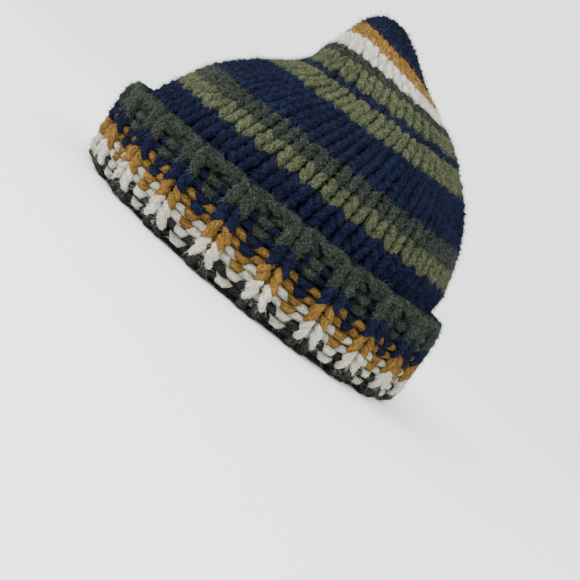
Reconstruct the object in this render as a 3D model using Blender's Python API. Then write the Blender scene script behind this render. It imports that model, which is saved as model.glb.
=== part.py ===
"""Chunky hand-knit beanie: a ribbed cuff, turned up once, round a hollow stockinette crown.

Metres, +Z up. The front of the hat faces -Y. It rests on the fold of its cuff at Z = 0.
"""

import math

import bmesh
import bpy

# Whole hat
BRIM_LENGTH = 0.2120
BRIM_WIDTH = 0.1820
HAT_HEIGHT = 0.1540

# Cuff: the turned-up layer, the inner layer behind it and the slot between them
CUFF_HEIGHT = 0.0485
CUFF_BACK_RISE = 0.0030
CUFF_LEAN = 0.0055
LEAN_PIVOT_SHARE = 0.4065
TURNED_LAYER = 0.0075
INNER_LAYER = 0.0060
FOLD_SLOT = 0.0012
REST_WIDTH = 0.0060
INNER_LAYER_SHARE = 0.80

# Ribs: one knit column and one purl column each
RIB_COUNT = 22
RIB_TURN_ANGLE = -0.37
RIB_RELIEF = 0.0030
INSIDE_RIB_RELIEF = 0.0014
COLUMNS_PER_RIB = 6

# Crown: one layer of knitting, two wales for each rib of the cuff
CROWN_WALL = 0.0060
WALE_RELIEF = 0.0014
COLUMNS_PER_WALE = 2
SEAT_GAP = 0.0003

# Outside of the turned-up layer, from the rest to its cast-on edge.
# rise: share of the cuff's height; inset: share of the turned-up layer; rib: share of the rib relief
OUTSIDE_ROWS = (
    (0.035, 0.20, 0.50),
    (0.120, 0.03, 1.00),
    (0.300, 0.00, 1.00),
    (0.520, 0.00, 1.00),
    (0.720, 0.05, 1.00),
    (0.870, 0.20, 0.80),
    (0.965, 0.50, 0.40),
    (1.000, 0.90, 0.20),
)

# Hidden side of the turned-up layer, from its edge down to the slot. Columns as above.
HIDDEN_ROWS = (
    (0.965, 1.22, 0.00),
    (0.880, 1.10, 0.00),
    (0.520, 1.02, 0.00),
    (0.170, 1.00, 0.00),
)

# Inside of the inner layer, from its top down to the rest.
# rise: share of the cuff's height; inset: share of the inner layer; rib: share of the inside relief
INSIDE_ROWS = (
    (0.500, 1.00, 1.00),
    (0.260, 1.00, 1.00),
    (0.110, 0.96, 1.00),
    (0.030, 0.74, 0.50),
)
SLOT_FLOOR_SHARE = 0.13

# Outer surface of the crown, from its seat on the inner layer to the peak.
# rise: share of the height above the seat; front, back: shares of the seat's half length, from its centre;
# side: share of the seat's half width
CROWN_ROWS = (
    (0.00, 1.000, 1.000, 1.000),
    (0.03, 1.000, 1.000, 1.000),
    (0.09, 0.975, 0.960, 0.975),
    (0.18, 0.930, 0.955, 0.955),
    (0.27, 0.878, 0.925, 0.920),
    (0.36, 0.810, 0.880, 0.870),
    (0.45, 0.706, 0.820, 0.805),
    (0.53, 0.600, 0.755, 0.735),
    (0.60, 0.500, 0.675, 0.655),
    (0.66, 0.455, 0.590, 0.585),
    (0.73, 0.435, 0.480, 0.510),
    (0.79, 0.415, 0.335, 0.420),
    (0.85, 0.395, 0.170, 0.325),
    (0.91, 0.372, 0.040, 0.240),
    (0.96, 0.332, -0.060, 0.165),
    (0.99, 0.280, -0.150, 0.085),
)
TIP_FRONT_SHARE = 0.217

# Where the wales run together in pairs, as shares of the crown's rise
DECREASE_START_SHARE = 0.45
DECREASE_END_SHARE = 0.80
RELIEF_FADE_SHARE = 0.90

SMOOTH_ANGLE = math.radians(60)
WELD_DISTANCE = 0.00001


def smooth_step(low, high, value):
    share = min(max((value - low) / (high - low), 0.0), 1.0)
    return share * share * (3.0 - 2.0 * share)


def rib_height(turn):
    """1 along the middle of a knit column, 0 along a purl column."""
    return 0.5 + 0.5 * math.cos(RIB_COUNT * (turn - RIB_TURN_ANGLE))


def cuff_height(turn):
    """The cuff is turned up a little higher at the back."""
    return CUFF_HEIGHT + CUFF_BACK_RISE * math.sin(turn)


def cuff_centre(rise):
    """Y of the cuff's middle: it leans forward as it rises, and is over the origin at the pivot's rise."""
    return CUFF_LEAN * (LEAN_PIVOT_SHARE - rise)


def cuff_section():
    """Rows round the cuff's section: rise, depth from the outer envelope, outer and inside rib shares."""
    slot_far = TURNED_LAYER + FOLD_SLOT
    inside = slot_far + INNER_LAYER
    rest_near = (inside - REST_WIDTH) / 2
    rows = [(0.0, rest_near, 0.0, 0.0)]
    for rise, inset, rib in OUTSIDE_ROWS + HIDDEN_ROWS:
        rows.append((rise, inset * TURNED_LAYER, rib, 0.0))
    rows.append((SLOT_FLOOR_SHARE, TURNED_LAYER + FOLD_SLOT / 2, 0.0, 0.0))
    for rise in (HIDDEN_ROWS[-1][0], INSIDE_ROWS[0][0], INNER_LAYER_SHARE):
        rows.append((rise, slot_far, 0.0, 0.0))
    rows.append((INNER_LAYER_SHARE, inside, 0.0, 0.0))
    for rise, inset, rib in INSIDE_ROWS:
        rows.append((rise, slot_far + inset * INNER_LAYER, 0.0, rib))
    rows.append((0.0, rest_near + REST_WIDTH, 0.0, 0.0))
    return rows


def cuff_ring(row, columns):
    """One closed ring of points round the cuff for a row of its section."""
    rise, depth, outer_rib, inside_rib = row
    points = []
    for column in range(columns):
        turn = math.tau * column / columns + RIB_TURN_ANGLE
        rib = rib_height(turn)
        inset = depth + outer_rib * RIB_RELIEF * (1.0 - rib) + inside_rib * INSIDE_RIB_RELIEF * rib
        points.append((
            (BRIM_WIDTH / 2 - inset) * math.cos(turn),
            (BRIM_LENGTH / 2 - inset) * math.sin(turn) + cuff_centre(rise),
            rise * cuff_height(turn),
        ))
    return points


def wale_groove(turn, rise):
    """1 in the groove between two wales, 0 on a wale; the wales pair up towards the peak."""
    wales = 2 * RIB_COUNT
    fine = 0.5 - 0.5 * math.cos(wales * (turn - RIB_TURN_ANGLE))
    coarse = 0.5 - 0.5 * math.cos(wales / 2 * (turn - RIB_TURN_ANGLE))
    paired = smooth_step(DECREASE_START_SHARE, DECREASE_END_SHARE, rise)
    fade = 1.0 - smooth_step(RELIEF_FADE_SHARE, 1.0, rise)
    return fade * (fine * (1.0 - paired) + coarse * paired)


def seat_height(turn):
    return INNER_LAYER_SHARE * cuff_height(turn) + SEAT_GAP


def seat_half(size):
    """Half of the crown's length or width where it sits on the inner layer."""
    return size / 2 - TURNED_LAYER - FOLD_SLOT


def crown_ring(row, columns):
    """One closed ring of points round the crown's outer surface."""
    rise, front, back, side = row
    half_length = seat_half(BRIM_LENGTH)
    middle = cuff_centre(INNER_LAYER_SHARE) + half_length * (back - front) / 2
    points = []
    for column in range(columns):
        turn = math.tau * column / columns + RIB_TURN_ANGLE
        inset = WALE_RELIEF * wale_groove(turn, rise)
        seat = seat_height(turn)
        points.append((
            (seat_half(BRIM_WIDTH) * side - inset) * math.cos(turn),
            (half_length * (front + back) / 2 - inset) * math.sin(turn) + middle,
            seat + rise * (HAT_HEIGHT - seat),
        ))
    return points


def crown_tip():
    """Where the last stitches are drawn together, forward of the middle."""
    return (0.0, cuff_centre(INNER_LAYER_SHARE) - TIP_FRONT_SHARE * seat_half(BRIM_LENGTH), HAT_HEIGHT)


def tube_of(rings, closed):
    """A grid rolled into a tube through the rings; its last ring meets the first when closed."""
    columns = len(rings[0])
    bands = len(rings) if closed else len(rings) - 1
    shape = bmesh.new()
    bmesh.ops.create_grid(shape, x_segments=columns, y_segments=bands, size=0.5)
    for corner in shape.verts:
        column = round((corner.co.x + 0.5) * columns) % columns
        band = round((corner.co.y + 0.5) * bands) % len(rings)
        corner.co = rings[band][column]
    bmesh.ops.remove_doubles(shape, verts=shape.verts, dist=WELD_DISTANCE)
    return shape


def knit_material(name, colour):
    material = bpy.data.materials.new(name)
    material.use_nodes = True
    surface = material.node_tree.nodes["Principled BSDF"]
    surface.inputs["Base Color"].default_value = (*colour, 1.0)
    surface.inputs["Roughness"].default_value = 0.95
    surface.inputs["Metallic"].default_value = 0.0
    return material


def finished_object(name, shape, material):
    """Turns a worked bmesh into an object of the scene, smooth but for its sharp edges."""
    bmesh.ops.recalc_face_normals(shape, faces=shape.faces)
    mesh = bpy.data.meshes.new(name)
    shape.to_mesh(mesh)
    shape.free()
    mesh.materials.append(material)
    mesh.shade_smooth()
    mesh.set_sharp_from_angle(angle=SMOOTH_ANGLE)
    piece = bpy.data.objects.new(name, mesh)
    bpy.context.scene.collection.objects.link(piece)
    return piece


def make_cuff():
    columns = RIB_COUNT * COLUMNS_PER_RIB
    rings = [cuff_ring(row, columns) for row in cuff_section()]
    shape = tube_of(rings, closed=True)
    return finished_object("cuff", shape, knit_material("dark_olive_wool", (0.045, 0.055, 0.042)))


def make_crown():
    columns = 2 * RIB_COUNT * COLUMNS_PER_WALE
    rings = [crown_ring(row, columns) for row in CROWN_ROWS]
    shape = tube_of(rings + [[crown_tip()] * columns], closed=False)
    crown = finished_object("crown", shape, knit_material("navy_wool", (0.014, 0.023, 0.090)))
    wall = crown.modifiers.new("wall", "SOLIDIFY")
    wall.thickness = CROWN_WALL
    wall.offset = -1.0
    return crown


def main():
    for old in list(bpy.data.objects):
        bpy.data.objects.remove(old, do_unlink=True)
    make_cuff()
    make_crown()


main()
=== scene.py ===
"""Chunky hand-knit beanie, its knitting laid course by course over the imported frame. Metres, +Z up."""

import math

import bpy
import numpy as np
from mathutils import Matrix, Vector


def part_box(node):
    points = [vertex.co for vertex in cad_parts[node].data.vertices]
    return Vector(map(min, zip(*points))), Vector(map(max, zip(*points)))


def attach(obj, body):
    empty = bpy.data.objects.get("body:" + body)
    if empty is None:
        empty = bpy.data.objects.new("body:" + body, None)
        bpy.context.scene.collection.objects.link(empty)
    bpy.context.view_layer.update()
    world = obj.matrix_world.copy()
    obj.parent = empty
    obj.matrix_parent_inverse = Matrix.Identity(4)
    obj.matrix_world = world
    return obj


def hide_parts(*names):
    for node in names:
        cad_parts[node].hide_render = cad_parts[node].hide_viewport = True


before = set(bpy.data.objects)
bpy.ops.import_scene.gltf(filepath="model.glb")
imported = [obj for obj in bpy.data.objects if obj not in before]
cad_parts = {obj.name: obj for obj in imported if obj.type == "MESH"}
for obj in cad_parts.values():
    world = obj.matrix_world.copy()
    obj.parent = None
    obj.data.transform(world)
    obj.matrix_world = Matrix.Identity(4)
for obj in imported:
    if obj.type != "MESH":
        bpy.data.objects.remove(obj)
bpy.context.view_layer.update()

# Heights read from the frame
CUFF_TOP = Vector(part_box("cuff")[1]).z
HAT_HEIGHT = Vector(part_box("crown")[1]).z

# Cuff, as the frame's solid is built
CUFF_BACK_RISE = 0.0030
CUFF_LEAN = 0.0055
LEAN_PIVOT = 0.4065
CUFF_HEIGHT = CUFF_TOP - CUFF_BACK_RISE
BRIM_HALF_LENGTH = 0.1060
BRIM_HALF_WIDTH = 0.0910
TURNED_LAYER = 0.0075
FOLD_SLOT = 0.0012
INNER_LAYER_RISE = 0.80
RIB_COUNT = 22
RIB_TURN = -0.37

# Path of the fabric's middle through the cuff, from the cast-on edge round the fold and up inside.
# rise: share of the cuff's height; depth: metres in from the cuff's outer envelope
CUFF_PATH = (
    (0.960, 0.0056),
    (0.860, 0.0047),
    (0.700, 0.0040),
    (0.500, 0.0037),
    (0.280, 0.0037),
    (0.140, 0.0041),
    (0.075, 0.0062),
    (0.062, 0.0080),
    (0.080, 0.0098),
    (0.160, 0.0114),
    (0.300, 0.0118),
    (0.520, 0.0118),
    (0.740, 0.0118),
)

# Outer surface of the crown above its seat, as the frame's solid is built.
# rise: share of the height above the seat; front, back: shares of the seat's half length;
# side: share of its half width
CROWN_PATH = (
    (0.03, 1.000, 1.000, 1.000),
    (0.09, 0.975, 0.960, 0.975),
    (0.18, 0.930, 0.955, 0.955),
    (0.27, 0.878, 0.925, 0.920),
    (0.36, 0.810, 0.880, 0.870),
    (0.45, 0.706, 0.820, 0.805),
    (0.53, 0.600, 0.755, 0.735),
    (0.60, 0.500, 0.675, 0.655),
    (0.66, 0.455, 0.590, 0.585),
    (0.73, 0.435, 0.480, 0.510),
    (0.79, 0.415, 0.335, 0.420),
    (0.85, 0.395, 0.170, 0.325),
    (0.91, 0.372, 0.040, 0.240),
    (0.96, 0.332, -0.060, 0.165),
    (0.99, 0.280, -0.150, 0.085),
    (1.00, 0.217, -0.217, 0.000),
)
CROWN_SINK = 0.0036

# From the cast-on edge to the foot of the first course, and what stands for a course's height where the
# courses share the way to the seat evenly
EDGE_DISTANCE = 0.0023
FILLS_TO_SEAT = None

# Bands of courses in the order they were knitted.
# piece, replaced node, yarn, courses, height of one course in metres
BANDS = (
    ("cuff_edge_courses", "cuff", "dark_olive", 2, 0.0049),
    ("cuff_navy_courses", "cuff", "navy", 2, 0.0049),
    ("cuff_mustard_courses", "cuff", "mustard", 2, 0.0044),
    ("cuff_cream_courses", "cuff", "cream", 2, 0.0042),
    ("cuff_fold_courses", "cuff", "dark_olive", 3, 0.0046),
    ("inner_olive_courses", "cuff", "light_olive", 2, FILLS_TO_SEAT),
    ("inner_navy_courses", "cuff", "navy", 5, FILLS_TO_SEAT),
    ("crown_base_navy_courses", "crown", "navy", 5, 0.0048),
    ("crown_olive_courses", "crown", "light_olive", 2, 0.0052),
    ("crown_dark_olive_courses", "crown", "dark_olive", 2, 0.0052),
    ("crown_wide_navy_courses", "crown", "navy", 6, 0.0045),
    ("upper_olive_courses", "crown", "light_olive", 3, 0.0047),
    ("upper_navy_course", "crown", "navy", 1, 0.0040),
    ("peak_olive_courses", "crown", "light_olive", 2, 0.0054),
    ("peak_dark_olive_course", "crown", "dark_olive", 1, 0.0044),
    ("peak_cream_courses", "crown", "cream", 2, 0.0055),
    ("peak_mustard_courses", "crown", "mustard", 2, 0.0046),
    ("peak_navy_courses", "crown", "navy", 3, 0.0052),
    ("tip_dark_courses", "crown", "dark_navy", 2, 0.0050),
)

# Rounds of fewer stitches: the course that each starts with, and its stitches
DECREASES = (
    (33, 38),
    (36, 32),
    (37, 27),
    (40, 22),
    (43, 20),
    (44, 17),
    (45, 14),
    (46, 11),
    (47, 8),
    (48, 6),
)

# After stitches run together, the others even out: rounds of evening, and the weight of a stitch and of
# each neighbour
EVENING_ROUNDS = 3
OWN_WEIGHT = 0.6
NEIGHBOUR_WEIGHT = 0.2

# How far the courses drift along the crown, in metres.
# distance from the seat, rise at the back and fall at the front, sink at the sides, sink in the dip
DRIFT = (
    (0.000, 0.0000, 0.0000, 0.0000),
    (0.024, 0.0015, 0.0000, 0.0000),
    (0.045, 0.0040, 0.0015, 0.0000),
    (0.072, 0.0070, 0.0040, 0.0060),
    (0.088, 0.0065, 0.0030, 0.0100),
    (0.105, 0.0010, 0.0020, 0.0130),
    (0.116, -0.0045, 0.0010, 0.0130),
    (0.126, -0.0060, 0.0005, 0.0080),
    (0.145, -0.0020, 0.0000, 0.0020),
    (0.155, 0.0000, 0.0000, 0.0000),
)

# The dip beside the front, where the peak leans over: its turn, and how narrow it is
DIP_TURN = -2.20
DIP_SHARPNESS = 6

# Yarn and stitch shape. A loop runs from foot over its head to the next foot.
YARN_RADIUS = 0.0024
LOOP_POINTS = 14
LOOP_DEPTH = 0.0018
LOOP_SPREAD = 0.190
PURL_SPREAD = 0.175
RIB_NARROW = 0.07
LOOP_CLOSE = 0.012
RIB_CLOSE = 0.035
LOOP_SKEW = 0.050
WALE_FOLLOW = 0.7
FOOT_START = 0.72
FOOT_BLEND = 0.5
LEG_SHARPNESS = 4
HEAD_THICKNESS = 0.82
LEG_THICKNESS = 0.20
RIB_HEAD_THICKNESS = 0.94
RIB_LEG_THICKNESS = -0.04
RIB_RELIEF = 0.0011
HAND_WOBBLE = 0.050
DEPTH_WOBBLE_GAIN = 2.0
FIRST_LOOP_REACH = 2.0
LAST_LOOP_REACH = 0.75
YARN_BEVEL = 2
FLOOR_CLEARANCE = 0.0001
DICE_SEED = 44

# Cast-on edge, its fuller first courses, and the yarn that draws the last stitches together
EDGE_STRANDS = 2
EDGE_TURNS = 44
EDGE_POINTS_PER_TURN = 8
EDGE_RADIUS = 0.0015
EDGE_THICKNESS = 0.84
EDGE_THICKNESS_SWING = 0.16
EDGE_DIP = 0.0002
EDGE_COURSES = BANDS[0][3]
EDGE_FULLNESS = 0.14
GATHER_RADIUS = 0.0030
GATHER_SINK = 0.0042
GATHER_POINTS = 24

# Steps along and across the fabric that its normals are measured with
NUDGE_TURN = 0.002
NUDGE_DISTANCE = 0.0004
SMALLEST_LENGTH = 1e-12


def cuff_centre(rise):
    """Y of the cuff's middle, which moves forward as the cuff rises."""
    return CUFF_LEAN * (LEAN_PIVOT - rise)


def guide_rings():
    """Rings down the cuff, round its fold and up to the peak.

    front Y, back Y, half width, Z at the sides, how much higher the back is, sink below the surface
    """
    rings = []
    for rise, depth in CUFF_PATH:
        half = BRIM_HALF_LENGTH - depth
        centre = cuff_centre(rise)
        rings.append((
            centre - half, centre + half, BRIM_HALF_WIDTH - depth,
            rise * CUFF_HEIGHT, rise * CUFF_BACK_RISE, 0.0,
        ))
    seat_inset = TURNED_LAYER + FOLD_SLOT
    half = BRIM_HALF_LENGTH - seat_inset
    side_half = BRIM_HALF_WIDTH - seat_inset
    centre = cuff_centre(INNER_LAYER_RISE)
    seat = INNER_LAYER_RISE * CUFF_HEIGHT
    swing = INNER_LAYER_RISE * CUFF_BACK_RISE
    for rise, front, back, side in CROWN_PATH:
        rings.append((
            centre - front * half, centre + back * half, side * side_half,
            seat + rise * (HAT_HEIGHT - seat), swing * (1.0 - rise), CROWN_SINK,
        ))
    return np.array(rings)


GUIDE = guide_rings()


def guide_distances():
    """Distance along the fabric from the cast-on edge to each ring, a mean of its front, back and side."""
    steps = np.diff(GUIDE, axis=0)
    front = np.hypot(steps[:, 0], steps[:, 3])
    back = np.hypot(steps[:, 1], steps[:, 3])
    side = np.hypot(steps[:, 2], steps[:, 3])
    return np.concatenate([[0.0], np.cumsum((front + back + 2 * side) / 4)])


DISTANCES = guide_distances()
SLOPES = np.gradient(GUIDE, DISTANCES, axis=0)
SEAT_DISTANCE = DISTANCES[len(CUFF_PATH)] - CROWN_PATH[0][0] * (HAT_HEIGHT - INNER_LAYER_RISE * CUFF_HEIGHT)


def ring_at(distance):
    """The guide ring at each distance along the fabric, on a smooth curve through the guide."""
    distance = np.clip(distance, 0.0, DISTANCES[-1])
    index = np.clip(np.searchsorted(DISTANCES, distance, side="right") - 1, 0, len(DISTANCES) - 2)
    span = DISTANCES[index + 1] - DISTANCES[index]
    share = ((distance - DISTANCES[index]) / span)[:, None]
    span = span[:, None]
    square = share * share
    cube = square * share
    return (
        (2 * cube - 3 * square + 1) * GUIDE[index]
        + (cube - 2 * square + share) * span * SLOPES[index]
        + (3 * square - 2 * cube) * GUIDE[index + 1]
        + (cube - square) * span * SLOPES[index + 1]
    )


def drifted(turn, distance):
    """The distance that a course's stitches really have at each turn, where it drifts along the crown."""
    above_seat = distance - SEAT_DISTANCE
    places, back_rises, side_sinks, dips = np.array(DRIFT).T
    back_rise = np.interp(above_seat, places, back_rises)
    side_sink = np.interp(above_seat, places, side_sinks)
    near_dip = np.clip(np.cos(turn - DIP_TURN), 0.0, 1.0) ** DIP_SHARPNESS
    dip = np.interp(above_seat, places, dips) * near_dip
    return distance + back_rise * np.sin(turn) - side_sink * np.cos(turn) ** 2 - dip


def on_fabric(turn, distance):
    """Points of the guide surface, without sink, at each turn and distance."""
    ring = ring_at(drifted(turn, distance))
    half = (ring[:, 1] - ring[:, 0]) / 2
    middle = (ring[:, 1] + ring[:, 0]) / 2
    points = np.stack([
        ring[:, 2] * np.cos(turn),
        middle + half * np.sin(turn),
        ring[:, 3] + ring[:, 4] * np.sin(turn),
    ], axis=1)
    return points, ring[:, 5]


def fabric(turn, distance, depth):
    """Points at a depth off the fabric's middle, towards its right side, and the fabric's normal at each."""
    points, sink = on_fabric(turn, distance)
    across = on_fabric(turn + NUDGE_TURN, distance)[0] - on_fabric(turn - NUDGE_TURN, distance)[0]
    ahead = on_fabric(turn, distance + NUDGE_DISTANCE)[0] - on_fabric(turn, distance - NUDGE_DISTANCE)[0]
    normals = np.cross(across, ahead)
    lengths = np.linalg.norm(normals, axis=1, keepdims=True)
    normals = normals / np.maximum(lengths, SMALLEST_LENGTH)
    return points + normals * (depth - sink)[:, None], normals


def course_rows():
    """Distance and band of every course, from the cast-on edge to the tip."""
    cuff_bands = [(count, height) for _, node, _, count, height in BANDS if node == "cuff"]
    outer_end = EDGE_DISTANCE + sum(
        count * height for count, height in cuff_bands if height is not FILLS_TO_SEAT
    )
    inner_courses = sum(count for count, height in cuff_bands if height is FILLS_TO_SEAT)
    inner_course = (SEAT_DISTANCE - outer_end) / inner_courses
    rows = []
    distance = EDGE_DISTANCE
    for band, (_, _, _, count, height) in enumerate(BANDS):
        step = inner_course if height is FILLS_TO_SEAT else height
        for _ in range(count):
            rows.append((distance + step / 2, band))
            distance += step
    return rows


def wale_centres(rows):
    """Turn of every stitch of every course, and which stitch of the next course each one feeds."""
    count = 2 * RIB_COUNT
    centres = [RIB_TURN + math.tau * np.arange(count) / count]
    feeds = []
    targets = dict(DECREASES)
    for course in range(1, len(rows)):
        previous = centres[-1]
        wanted = targets.get(course, len(previous))
        merges = len(previous) - wanted
        feed = np.zeros(len(previous), dtype=int)
        current = []
        chosen = {int((step + 0.5) * len(previous) / merges) for step in range(merges)} if merges else set()
        stitch = 0
        while stitch < len(previous):
            feed[stitch] = len(current)
            if stitch in chosen and stitch + 1 < len(previous):
                feed[stitch + 1] = len(current)
                current.append((previous[stitch] + previous[stitch + 1]) / 2)
                stitch += 2
            else:
                current.append(previous[stitch])
                stitch += 1
        current = np.array(current)
        for _ in range(EVENING_ROUNDS):
            after = np.append(current[1:], current[0] + math.tau)
            before = np.insert(current[:-1], 0, current[-1] - math.tau)
            current = current * OWN_WEIGHT + (after + before) * NEIGHBOUR_WEIGHT
        feeds.append(feed)
        centres.append(current)
    feeds.append(np.arange(len(centres[-1])))
    return centres, feeds


ROWS = course_rows()
RIBBED_COURSES = sum(count for _, node, _, count, _ in BANDS if node == "cuff")
CENTRES, FEEDS = wale_centres(ROWS)


def shifted(values, step):
    """The values of the next or previous stitch round the course, unwrapped."""
    rolled = np.roll(values, -step)
    if step > 0:
        rolled[-1] += math.tau
    else:
        rolled[0] -= math.tau
    return rolled


def course_strand(course, dice):
    """One course of loops: points along the yarn, its thickness, the fabric's normal and depth at each."""
    centres = CENTRES[course]
    count = len(centres)
    place = ROWS[course][0]
    below = EDGE_DISTANCE * FIRST_LOOP_REACH
    above = (DISTANCES[-1] - place) * LAST_LOOP_REACH
    up = centres.copy()
    down = centres.copy()
    if course + 1 < len(ROWS):
        above = ROWS[course + 1][0] - place
        up = CENTRES[course + 1][FEEDS[course]]
    if course:
        below = place - ROWS[course - 1][0]
        feed = FEEDS[course - 1]
        down = np.array([CENTRES[course - 1][feed == stitch].mean() for stitch in range(count)])
    up = centres + (up - centres) * WALE_FOLLOW
    down = centres + (down - centres) * WALE_FOLLOW
    ribbed = course < RIBBED_COURSES
    knit = np.where(np.arange(count) % 2 == 1, 1.0, -1.0) if ribbed else np.ones(count)
    relief = RIB_RELIEF * knit if ribbed else np.zeros(count)
    wobbles = dice.normal(0.0, HAND_WOBBLE, (4, count, 1))
    height_wobble, side_wobble, depth_wobble, thickness_wobble = wobbles

    phase = (np.arange(LOOP_POINTS) + 0.5) / LOOP_POINTS * math.tau - math.pi
    phase = np.tile(phase, (count, 1))
    height = (1.0 + height_wobble) * np.cos(phase)
    rise = np.clip(height, 0.0, 1.0)
    fall = np.clip(-height, 0.0, 1.0)

    def line(middle, top, low):
        return middle[:, None] + (top - middle)[:, None] * rise + (low - middle)[:, None] * fall

    own = line(centres, up, down)
    right = line(shifted(centres, 1), shifted(up, 1), shifted(down, 1))
    left = line(shifted(centres, -1), shifted(up, -1), shifted(down, -1))
    spread = np.where(knit > 0, LOOP_SPREAD, PURL_SPREAD)[:, None]
    narrow = RIB_NARROW * knit[:, None] if ribbed else 0.0
    close = RIB_CLOSE if ribbed else LOOP_CLOSE
    across = phase / math.tau + spread * np.sin(2 * phase) - close * np.sin(phase)
    across = across * (1.0 - narrow)
    skew = 0.0 if ribbed else LOOP_SKEW
    across = across - skew * np.cos(phase) + side_wobble * np.cos(phase / 2) ** 2
    turn = own + np.where(across > 0, across * (right - own), across * (own - left))

    side = np.sign(phase)
    next_knit = np.where(side > 0, np.roll(knit, -1)[:, None], np.roll(knit, 1)[:, None])
    next_relief = np.where(side > 0, np.roll(relief, -1)[:, None], np.roll(relief, 1)[:, None])
    near_foot = np.clip((np.abs(phase) / math.pi - FOOT_START) / (1.0 - FOOT_START), 0.0, 1.0)
    blend = near_foot * near_foot * (3 - 2 * near_foot) * FOOT_BLEND
    facing = knit[:, None] * (1 - blend) + next_knit * blend
    lift = relief[:, None] * (1 - blend) + next_relief * blend
    depth = lift - facing * LOOP_DEPTH * np.cos(2 * phase) * (1.0 + DEPTH_WOBBLE_GAIN * depth_wobble)

    distance = place + np.where(height > 0, height * above, height * below)
    head = RIB_HEAD_THICKNESS if ribbed else HEAD_THICKNESS
    leg = RIB_LEG_THICKNESS if ribbed else LEG_THICKNESS
    thickness = head + leg * np.sin(phase) ** LEG_SHARPNESS + thickness_wobble
    if course < EDGE_COURSES:
        thickness += EDGE_FULLNESS
    points, normals = fabric(turn.reshape(-1), distance.reshape(-1), depth.reshape(-1))
    thickness = thickness.reshape(-1)
    return on_floor(points, thickness), thickness, normals, depth.reshape(-1)


def on_floor(points, thickness):
    """Yarn that would dip below the surface under the hat is pressed up to it."""
    points[:, 2] = np.maximum(points[:, 2], YARN_RADIUS * thickness + FLOOR_CLEARANCE)
    return points


def edge_strand(strand):
    """One of the strands twisted round each other along the cast-on edge."""
    count = EDGE_TURNS * EDGE_POINTS_PER_TURN
    turn = np.arange(count) / count * math.tau
    twist = turn * EDGE_TURNS + math.tau * strand / EDGE_STRANDS
    rib = np.cos(RIB_COUNT * (turn - RIB_TURN))
    distance = EDGE_DISTANCE / 2 + EDGE_RADIUS * np.cos(twist) + EDGE_DIP * rib
    depth = EDGE_RADIUS * np.sin(twist) + RIB_RELIEF * rib
    thickness = EDGE_THICKNESS + EDGE_THICKNESS_SWING * np.cos(2 * twist)
    points, normals = fabric(turn, distance, depth)
    return points, thickness, normals, depth


def gather_ring():
    """The end of the yarn, drawn round through the last stitches."""
    turn = np.arange(GATHER_POINTS) / GATHER_POINTS * math.tau
    tip = on_fabric(np.zeros(1), DISTANCES[-1:])[0][0]
    points = tip + np.column_stack([
        GATHER_RADIUS * np.cos(turn), GATHER_RADIUS * np.sin(turn), np.full(GATHER_POINTS, -GATHER_SINK),
    ])
    normals = np.tile((0.0, 0.0, 1.0), (GATHER_POINTS, 1))
    return points, np.ones(GATHER_POINTS), normals, np.zeros(GATHER_POINTS)


def evaluated_mesh(holder):
    """The mesh that an object's curves and modifiers come to."""
    bpy.context.view_layer.update()
    graph = bpy.context.evaluated_depsgraph_get()
    return bpy.data.meshes.new_from_object(holder.evaluated_get(graph))


def yarn_mesh(name, strands, outside, lowest):
    """One mesh of closed strands of yarn, its U in metres along the yarn and V round it."""
    curve = bpy.data.curves.new(name, "CURVE")
    curve.dimensions = "3D"
    curve.bevel_depth = YARN_RADIUS
    curve.bevel_resolution = YARN_BEVEL
    length = 0.0
    for points, thickness, _, _ in strands:
        spline = curve.splines.new("POLY")
        spline.points.add(len(points) - 1)
        spline.points.foreach_set("co", np.column_stack([points, np.ones(len(points))]).ravel())
        spline.points.foreach_set("radius", thickness)
        spline.use_cyclic_u = True
        spline.use_smooth = True
        length += np.linalg.norm(np.diff(points, axis=0), axis=1).sum() / len(strands)
    holder = bpy.data.objects.new(name, curve)
    bpy.context.scene.collection.objects.link(holder)
    mesh = evaluated_mesh(holder)
    bpy.data.objects.remove(holder, do_unlink=True)
    bpy.data.curves.remove(curve)
    mesh.name = name
    along = mesh.uv_layers[0].uv
    values = np.empty(len(along) * 2)
    along.foreach_get("vector", values)
    values[0::2] *= length
    along.foreach_set("vector", values)
    mark_skin(mesh, strands, outside, lowest)
    mesh.shade_smooth()
    return mesh


def mark_skin(mesh, strands, outside, lowest):
    """Marks the yarn's skin for its wool and its fibres.

    crest is 1 at the top of the knitting and 0 in its gaps; the wool turns low crest into painted shade.
    fuzz_mask is 1 where fibres grow: on the crests of the side on show, above the lowest Z.
    """
    points, normals = (np.concatenate([strand[index] for strand in strands]) for index in (0, 2))
    depth = np.concatenate([strand[3] for strand in strands])
    skin = np.empty(len(mesh.vertices) * 3)
    mesh.vertices.foreach_get("co", skin)
    skin = skin.reshape(len(points), -1, 3)
    height = ((skin - points[:, None, :]) * normals[:, None, :]).sum(axis=2) + depth[:, None]
    height /= LOOP_DEPTH + YARN_RADIUS
    crest = np.clip(np.abs(height), 0.0, 1.0)
    mask = (height * outside > FUZZ_CREST) & (skin[:, :, 2] > lowest)
    for name, values in (("crest", crest), ("fuzz_mask", mask.astype(float))):
        mesh.attributes.new(name, "FLOAT", "POINT").data.foreach_set("value", values.ravel())


# Fuzz: loose fibres that stand off the yarn where it faces out.
# seed shift, fibres on each square metre, length, bend, radius at the root, segments
FUZZ_KINDS = (
    (0, 400000.0, 0.0020, 0.0005, 0.00008, 1),
    (100, 290000.0, 0.0036, 0.0022, 0.00008, 2),
)
FIBRE_SIDES = 3
FIBRE_TILT = 1.10
FIBRE_SMALLEST = (0.7, 0.7, 0.4)
FIBRE_LARGEST = (1.2, 1.2, 1.3)
FUZZ_CREST = 0.55
FUZZ_FLOOR = 0.004
BARE_BANDS = ("inner_olive_courses", "inner_navy_courses")

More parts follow.
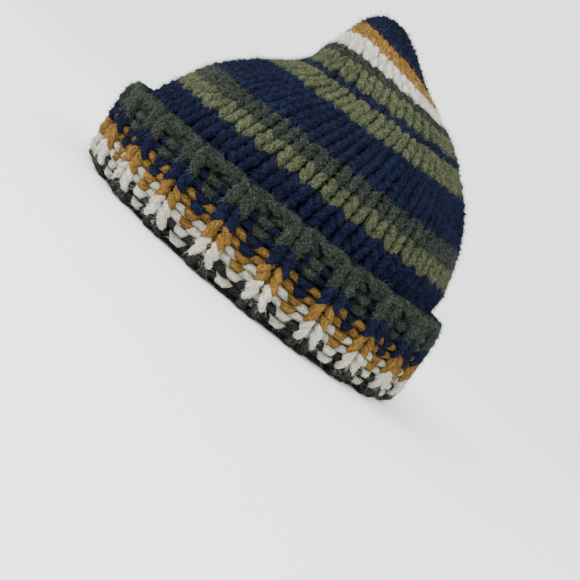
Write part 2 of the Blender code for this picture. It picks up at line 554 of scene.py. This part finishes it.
# The side of the fabric on show, 1 for its right side, and the Z above which fibres grow
SHOWN = {"cuff": (-1.0, FUZZ_FLOOR), "crown": (1.0, CUFF_HEIGHT)}


def socket(group, name, kind, way, value=None):
    """Adds a named input or output to a node group."""
    made = group.interface.new_socket(name=name, in_out=way, socket_type=kind)
    if value is not None:
        made.default_value = value


def worked(group, operation, first, second=0.0):
    """A sum, product or other operation on two sockets or numbers."""
    node = group.nodes.new("ShaderNodeMath")
    node.operation = operation
    for index, value in enumerate((first, second)):
        if isinstance(value, float):
            node.inputs[index].default_value = value
        else:
            group.links.new(value, node.inputs[index])
    return node.outputs[0]


def fuzz_group():
    """Geometry nodes that add bent, tapered fibres to a yarn mesh where its fuzz mask is 1."""
    group = bpy.data.node_groups.new("wool_fuzz", "GeometryNodeTree")
    group.is_modifier = True
    socket(group, "Geometry", "NodeSocketGeometry", "INPUT")
    socket(group, "Seed", "NodeSocketInt", "INPUT", 1)
    socket(group, "Thickness", "NodeSocketFloat", "INPUT", 1.0)
    socket(group, "Finish", "NodeSocketMaterial", "INPUT")
    socket(group, "Geometry", "NodeSocketGeometry", "OUTPUT")
    nodes = group.nodes
    links = group.links
    given = nodes.new("NodeGroupInput")
    out = nodes.new("NodeGroupOutput")
    joined = nodes.new("GeometryNodeJoinGeometry")

    def shaken(low, high, seed):
        node = nodes.new("FunctionNodeRandomValue")
        node.data_type = "FLOAT_VECTOR"
        node.inputs["Min"].default_value = low
        node.inputs["Max"].default_value = high
        links.new(seed, node.inputs["Seed"])
        return node.outputs["Value"]

    mask = nodes.new("GeometryNodeInputNamedAttribute")
    mask.data_type = "FLOAT"
    mask.inputs["Name"].default_value = "fuzz_mask"
    place = nodes.new("GeometryNodeInputPosition")
    split = nodes.new("ShaderNodeSeparateXYZ")
    links.new(place.outputs["Position"], split.inputs[0])
    curl = worked(group, "MULTIPLY", split.outputs["Z"], split.outputs["Z"])

    for shift, density, length, bend, radius, segments in FUZZ_KINDS:
        seed = worked(group, "ADD", given.outputs["Seed"], float(shift))
        roots = nodes.new("GeometryNodeDistributePointsOnFaces")
        links.new(given.outputs["Geometry"], roots.inputs["Mesh"])
        links.new(worked(group, "MULTIPLY", mask.outputs["Attribute"], density), roots.inputs["Density"])
        links.new(seed, roots.inputs["Seed"])
        needle = nodes.new("GeometryNodeMeshCone")
        needle.inputs["Vertices"].default_value = FIBRE_SIDES
        needle.inputs["Side Segments"].default_value = segments
        needle.inputs["Radius Top"].default_value = 0.0
        thickness = worked(group, "MULTIPLY", given.outputs["Thickness"], radius)
        links.new(thickness, needle.inputs["Radius Bottom"])
        needle.inputs["Depth"].default_value = length
        sideways = nodes.new("ShaderNodeCombineXYZ")
        links.new(worked(group, "MULTIPLY", curl, bend / length ** 2), sideways.inputs["X"])
        fibre = nodes.new("GeometryNodeSetPosition")
        links.new(needle.outputs["Mesh"], fibre.inputs["Geometry"])
        links.new(sideways.outputs[0], fibre.inputs["Offset"])
        leaning = nodes.new("FunctionNodeEulerToRotation")
        tilt = shaken((-FIBRE_TILT, -FIBRE_TILT, 0.0), (FIBRE_TILT, FIBRE_TILT, math.tau), seed)
        links.new(tilt, leaning.inputs["Euler"])
        turned = nodes.new("FunctionNodeRotateRotation")
        turned.rotation_space = "LOCAL"
        links.new(roots.outputs["Rotation"], turned.inputs["Rotation"])
        links.new(leaning.outputs["Rotation"], turned.inputs["Rotate By"])
        grown = nodes.new("GeometryNodeInstanceOnPoints")
        links.new(roots.outputs["Points"], grown.inputs["Points"])
        links.new(fibre.outputs["Geometry"], grown.inputs["Instance"])
        links.new(turned.outputs["Rotation"], grown.inputs["Rotation"])
        links.new(shaken(FIBRE_SMALLEST, FIBRE_LARGEST, seed), grown.inputs["Scale"])
        real = nodes.new("GeometryNodeRealizeInstances")
        links.new(grown.outputs["Instances"], real.inputs["Geometry"])
        finished = nodes.new("GeometryNodeSetMaterial")
        links.new(real.outputs["Geometry"], finished.inputs["Geometry"])
        links.new(given.outputs["Finish"], finished.inputs["Material"])
        links.new(finished.outputs["Geometry"], joined.inputs["Geometry"])
    links.new(given.outputs["Geometry"], joined.inputs["Geometry"])
    links.new(joined.outputs["Geometry"], out.inputs["Geometry"])
    return group


def fuzzy_piece(name, mesh, yarn, seed):
    """A piece of knitting with its fibres, as one plain mesh that stays above the floor."""
    mesh.materials.clear()
    mesh.materials.append(YARNS[yarn])
    holder = bpy.data.objects.new(name, mesh)
    bpy.context.scene.collection.objects.link(holder)
    fuzz = holder.modifiers.new("fuzz", "NODES")
    fuzz.node_group = FUZZ
    given = {"Seed": seed, "Thickness": LOOSE_FIBRES[yarn][0], "Finish": FIBRES[yarn]}
    for item in FUZZ.interface.items_tree:
        if item.in_out == "INPUT" and item.name in given:
            fuzz[item.identifier] = given[item.name]
    finished = evaluated_mesh(holder)
    bpy.data.objects.remove(holder, do_unlink=True)
    finished.name = name
    heights = np.empty(len(finished.vertices) * 3)
    finished.vertices.foreach_get("co", heights)
    heights[2::3] = np.maximum(heights[2::3], FLOOR_CLEARANCE)
    finished.vertices.foreach_set("co", heights)
    finished.update()
    piece = bpy.data.objects.new(name, finished)
    bpy.context.scene.collection.objects.link(piece)
    return piece


# Wool, in the yarn's own coordinates and in the object's.
# Noise cells on a metre of yarn and round it, and turns of the ply on a metre
CELLS_ALONG = 240.0
CELLS_ROUND = 2.8
PLY_TWIST = 24.0

# scale, detail, roughness, distortion
STRAND_NOISE = (1.0, 3.0, 0.6, 0.6)
FLUFF_NOISE = (800.0, 2.0, 0.6, 1.0)
FINE_NOISE = (1500.0, 1.0, 0.5, 0.0)
MOTTLE_NOISE = (110.0, 3.0, 0.6, 0.0)

# from low to high noise, and to which values where they aren't 0 and 1
STRAND_RANGE = (0.40, 0.60)
FLUFF_RANGE = (0.38, 0.62)
FLECK_RANGE = (0.56, 0.70)
MOTTLE_RANGE = (0.30, 0.70, 0.72, 1.0)
# Painted shade: this range darkens the wool from the crests of the knitting down into the gaps between
# stitches.
GAP_SHADE_RANGE = (0.08, 0.70, 0.16, 1.0)
ROUGHNESS_RANGE = (0.30, 0.70, 0.85, 1.0)

STRAND_SHARE = 0.5
FLUFF_SHARE = 0.5
FLUFF_RELIEF = 0.9
BUMP_DISTANCE = 0.0016
SHEEN = 0.06
SHEEN_ROUGHNESS = 0.6
SPECULAR = 0.06


def wool_fibre_group():
    """Colour, roughness and normal of lofty wool: fibres along the yarn, fluff, mottling and flecks, and
    painted shade that darkens the gaps between stitches.
    """
    group = bpy.data.node_groups.new("wool_fibre", "ShaderNodeTree")
    for name in ("Shade", "Lit Fibre", "Fleck"):
        socket(group, name, "NodeSocketColor", "INPUT")
    socket(group, "Fleck Amount", "NodeSocketFloat", "INPUT")
    socket(group, "Twist", "NodeSocketFloat", "INPUT", PLY_TWIST)
    socket(group, "Color", "NodeSocketColor", "OUTPUT")
    socket(group, "Roughness", "NodeSocketFloat", "OUTPUT")
    socket(group, "Normal", "NodeSocketVector", "OUTPUT")
    nodes = group.nodes
    links = group.links
    given = nodes.new("NodeGroupInput")
    out = nodes.new("NodeGroupOutput")

    def noise(vector, scale, detail, roughness, distortion):
        node = nodes.new("ShaderNodeTexNoise")
        node.inputs["Scale"].default_value = scale
        node.inputs["Detail"].default_value = detail
        node.inputs["Roughness"].default_value = roughness
        node.inputs["Distortion"].default_value = distortion
        links.new(vector, node.inputs["Vector"])
        return node.outputs["Fac"]

    def ramp(value, low, high, bottom=0.0, top=1.0):
        node = nodes.new("ShaderNodeMapRange")
        node.inputs["From Min"].default_value = low
        node.inputs["From Max"].default_value = high
        node.inputs["To Min"].default_value = bottom
        node.inputs["To Max"].default_value = top
        links.new(value, node.inputs["Value"])
        return node.outputs[0]

    def mix(factor, first, second, kind="MIX"):
        node = nodes.new("ShaderNodeMix")
        node.data_type = "RGBA"
        node.blend_type = kind
        if isinstance(factor, float):
            node.inputs["Factor"].default_value = factor
        else:
            links.new(factor, node.inputs["Factor"])
        links.new(first, node.inputs["A"])
        links.new(second, node.inputs["B"])
        return node.outputs["Result"]

    coordinates = nodes.new("ShaderNodeTexCoord")
    place = coordinates.outputs["Object"]
    split = nodes.new("ShaderNodeSeparateXYZ")
    links.new(coordinates.outputs["UV"], split.inputs[0])
    along = split.outputs[0]
    twisted = worked(group, "MULTIPLY", along, given.outputs["Twist"])
    angle = worked(group, "MULTIPLY", worked(group, "ADD", twisted, split.outputs[1]), math.tau)
    wound = nodes.new("ShaderNodeCombineXYZ")
    links.new(worked(group, "MULTIPLY", along, CELLS_ALONG), wound.inputs[0])
    for index, operation in ((1, "COSINE"), (2, "SINE")):
        round_yarn = worked(group, operation, angle)
        links.new(worked(group, "MULTIPLY", round_yarn, CELLS_ROUND), wound.inputs[index])

    strands = noise(wound.outputs[0], *STRAND_NOISE)
    fluff = noise(place, *FLUFF_NOISE)
    fine = noise(place, *FINE_NOISE)
    mottle = noise(place, *MOTTLE_NOISE)

    strand_light = worked(group, "MULTIPLY", ramp(strands, *STRAND_RANGE), STRAND_SHARE)
    fluff_light = worked(group, "MULTIPLY", ramp(fluff, *FLUFF_RANGE), FLUFF_SHARE)
    fibres = worked(group, "ADD", strand_light, fluff_light)
    lit = mix(fibres, given.outputs["Shade"], given.outputs["Lit Fibre"])
    flecks = worked(group, "MULTIPLY", ramp(fine, *FLECK_RANGE), given.outputs["Fleck Amount"])
    flecked = mix(flecks, lit, given.outputs["Fleck"])
    crest = nodes.new("ShaderNodeAttribute")
    crest.attribute_name = "crest"
    # Painted shade: low crest, in the gaps between stitches, darkens the wool; the mottle it is multiplied
    # with is the yarn's own uneven tone.
    painted_gap_shade = ramp(crest.outputs["Fac"], *GAP_SHADE_RANGE)
    mottle_and_gap_shade = worked(group, "MULTIPLY", ramp(mottle, *MOTTLE_RANGE), painted_gap_shade)
    mottle_and_gap_shade_colour = nodes.new("ShaderNodeCombineColor")
    for index in range(3):
        links.new(mottle_and_gap_shade, mottle_and_gap_shade_colour.inputs[index])
    links.new(mix(1.0, flecked, mottle_and_gap_shade_colour.outputs[0], "MULTIPLY"), out.inputs["Color"])
    links.new(ramp(fine, *ROUGHNESS_RANGE), out.inputs["Roughness"])

    relief = worked(group, "ADD", strands, worked(group, "MULTIPLY", fluff, FLUFF_RELIEF))
    bump = nodes.new("ShaderNodeBump")
    bump.inputs["Strength"].default_value = 1.0
    bump.inputs["Distance"].default_value = BUMP_DISTANCE
    links.new(relief, bump.inputs["Height"])
    links.new(bump.outputs["Normal"], out.inputs["Normal"])
    return group


WOOL = wool_fibre_group()


def wool(name, shade, lit, fleck, amount):
    """A wool finish: shadowed and lit fibre colours, a fleck colour and how much of it shows."""
    material = bpy.data.materials.new(name)
    material.use_nodes = True
    nodes = material.node_tree.nodes
    links = material.node_tree.links
    surface = nodes["Principled BSDF"]
    fibre = nodes.new("ShaderNodeGroup")
    fibre.node_tree = WOOL
    fibre.inputs["Shade"].default_value = (*shade, 1.0)
    fibre.inputs["Lit Fibre"].default_value = (*lit, 1.0)
    fibre.inputs["Fleck"].default_value = (*fleck, 1.0)
    fibre.inputs["Fleck Amount"].default_value = amount
    links.new(fibre.outputs["Color"], surface.inputs["Base Color"])
    links.new(fibre.outputs["Roughness"], surface.inputs["Roughness"])
    links.new(fibre.outputs["Normal"], surface.inputs["Normal"])
    surface.inputs["Sheen Weight"].default_value = SHEEN
    surface.inputs["Sheen Roughness"].default_value = SHEEN_ROUGHNESS
    surface.inputs["Sheen Tint"].default_value = (*lit, 1.0)
    surface.inputs["Specular IOR Level"].default_value = SPECULAR
    material.diffuse_color = (*lit, 1.0)
    return material


# yarn: shadowed fibres, lit fibres, flecks, share of flecks
WOOLS = {
    "navy": ((0.0008, 0.0012, 0.0045), (0.0098, 0.0154, 0.0460), (0.042, 0.054, 0.110), 0.45),
    "dark_navy": ((0.0011, 0.0016, 0.0048), (0.0086, 0.0124, 0.0280), (0.034, 0.040, 0.062), 0.40),
    "dark_olive": ((0.0048, 0.0068, 0.0056), (0.0350, 0.0420, 0.0335), (0.120, 0.135, 0.110), 0.45),
    "light_olive": ((0.0165, 0.0210, 0.0092), (0.1050, 0.1200, 0.0640), (0.260, 0.285, 0.170), 0.45),
    "mustard": ((0.0700, 0.0360, 0.0070), (0.3200, 0.1760, 0.0400), (0.540, 0.330, 0.110), 0.40),
    "cream": ((0.3200, 0.2950, 0.2150), (0.8400, 0.8050, 0.6700), (0.900, 0.880, 0.800), 0.40),
}
YARNS = {yarn: wool(f"{yarn}_wool", *finish) for yarn, finish in WOOLS.items()}

# yarn: how thick its loose fibres are, and how far their colours go from the yarn's to its flecks'
LOOSE_FIBRES = {
    "navy": (2.2, 0.25),
    "dark_navy": (2.4, 0.30),
    "dark_olive": (1.8, 0.90),
    "light_olive": (1.1, 0.40),
    "mustard": (0.8, 0.30),
    "cream": (0.8, 0.50),
}


def loose_wool(yarn):
    """The finish of a yarn's loose fibres, a little lighter than the yarn."""
    shade, lit, fleck, amount = WOOLS[yarn]
    share = LOOSE_FIBRES[yarn][1]
    lighter_shade = Vector(shade).lerp(Vector(lit), share)
    lighter_lit = Vector(lit).lerp(Vector(fleck), share)
    return wool(f"{yarn}_fuzz", lighter_shade, lighter_lit, fleck, amount)


FIBRES = {yarn: loose_wool(yarn) for yarn in WOOLS}
FUZZ = fuzz_group()

# Material slot name of each yarn: the tip's darker navy is the same slot as the rest
SLOTS = {yarn: f"{yarn}_wool" for yarn in WOOLS}
SLOTS["dark_navy"] = SLOTS["navy"]


def knit_bands():
    """Every band of courses, each a piece of its own yarn, with the edge's strands and the gathered tip."""
    dice = np.random.default_rng(DICE_SEED)
    strands = [[] for _ in BANDS]
    for course, (_, band) in enumerate(ROWS):
        strands[band].append(course_strand(course, dice))
    strands[0] += [edge_strand(strand) for strand in range(EDGE_STRANDS)]
    strands[-1].append(gather_ring())
    for seed, ((name, node, yarn, _, _), band_strands) in enumerate(zip(BANDS, strands)):
        outside, lowest = SHOWN[node]
        if name in BARE_BANDS:
            lowest = HAT_HEIGHT
        piece = fuzzy_piece(name, yarn_mesh(name, band_strands, outside, lowest), yarn, seed)
        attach(piece, "root")
        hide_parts(node)


# Floor
FLOOR_SIZE = 60.0
FLOOR_COLOUR = (0.95, 0.96, 0.965)


def make_floor():
    """The pale surface that the hat rests on."""
    bpy.ops.mesh.primitive_plane_add(size=FLOOR_SIZE, location=(0.0, 0.0, 0.0))
    floor = bpy.context.object
    floor.name = "floor"
    material = bpy.data.materials.new("pale_floor")
    material.use_nodes = True
    surface = material.node_tree.nodes["Principled BSDF"]
    surface.inputs["Base Color"].default_value = (*FLOOR_COLOUR, 1.0)
    surface.inputs["Roughness"].default_value = 1.0
    floor.data.materials.append(material)


# Camera: the photograph's angle to the hat
FOCAL_PIXELS = 800.0
PICTURE_PIXELS = 580.0
SENSOR_MILLIMETRES = 36.0
CLIP_START = 0.01
CAMERA_AZIMUTH = math.radians(75.0)
CAMERA_ELEVATION = math.radians(6.5)
CAMERA_ROLL = math.radians(40.6)
CAMERA_DISTANCE = 0.440
AIM_RIGHT = 0.0234
AIM_UP = -0.0050
BRIM_POINT = Vector((0.0, 0.0040, 0.0))


def camera_axes():
    """The camera's right, up and back axes, rolled as the hat is tilted in the photograph."""
    back = Vector((
        math.sin(CAMERA_AZIMUTH) * math.cos(CAMERA_ELEVATION),
        -math.cos(CAMERA_AZIMUTH) * math.cos(CAMERA_ELEVATION),
        math.sin(CAMERA_ELEVATION),
    ))
    level = (-back).cross(Vector((0.0, 0.0, 1.0))).normalized()
    upright = level.cross(-back)
    right = level * math.cos(CAMERA_ROLL) + upright * math.sin(CAMERA_ROLL)
    up = upright * math.cos(CAMERA_ROLL) - level * math.sin(CAMERA_ROLL)
    return right, up, back


def make_camera():
    """The camera, at the photograph's angle and distance."""
    right, up, back = camera_axes()
    data = bpy.data.cameras.new("camera")
    data.sensor_width = SENSOR_MILLIMETRES
    data.lens = FOCAL_PIXELS / PICTURE_PIXELS * SENSOR_MILLIMETRES
    data.clip_start = CLIP_START
    camera = bpy.data.objects.new("camera", data)
    place = BRIM_POINT + back * CAMERA_DISTANCE + right * AIM_RIGHT + up * AIM_UP
    turn = Matrix((right, up, back)).transposed()
    camera.matrix_world = Matrix.Translation(place) @ turn.to_4x4()
    bpy.context.scene.collection.objects.link(camera)
    bpy.context.scene.camera = camera


# Lights: name, metres along the camera's right, up and back axes, height over that, size, watts, colour
LIGHTS = (
    ("key", -0.25, 0.75, 0.55, 0.20, 0.6, 12.0, (1.0, 0.98, 0.96)),
    ("fill", 0.50, 0.00, 0.90, 0.25, 0.8, 3.0, (0.95, 0.98, 1.0)),
)
LIGHT_TARGET = Vector((0.0, 0.0, 0.07))
SURROUND_COLOUR = (0.965, 0.985, 1.0)
SURROUND_STRENGTH = 2.3


def area_light(name, place, size, power, colour):
    """A square soft light that looks at the hat."""
    data = bpy.data.lights.new(name, "AREA")
    data.shape = "SQUARE"
    data.size = size
    data.energy = power
    data.color = colour
    light = bpy.data.objects.new(name, data)
    aim = (place - LIGHT_TARGET).to_track_quat("Z", "Y").to_matrix().to_4x4()
    light.matrix_world = Matrix.Translation(place) @ aim
    bpy.context.scene.collection.objects.link(light)


def make_lights():
    """A key and a fill in a bright plain studio."""
    right, up, back = camera_axes()
    for name, across, above, behind, raised, size, power, colour in LIGHTS:
        place = right * across + up * above + back * behind + Vector((0.0, 0.0, raised))
        area_light(name, place, size, power, colour)
    world = bpy.data.worlds.new("studio")
    world.use_nodes = True
    background = world.node_tree.nodes["Background"]
    background.inputs["Color"].default_value = (*SURROUND_COLOUR, 1.0)
    background.inputs["Strength"].default_value = SURROUND_STRENGTH
    bpy.context.scene.world = world


make_camera()
knit_bands()
make_floor()
make_lights()
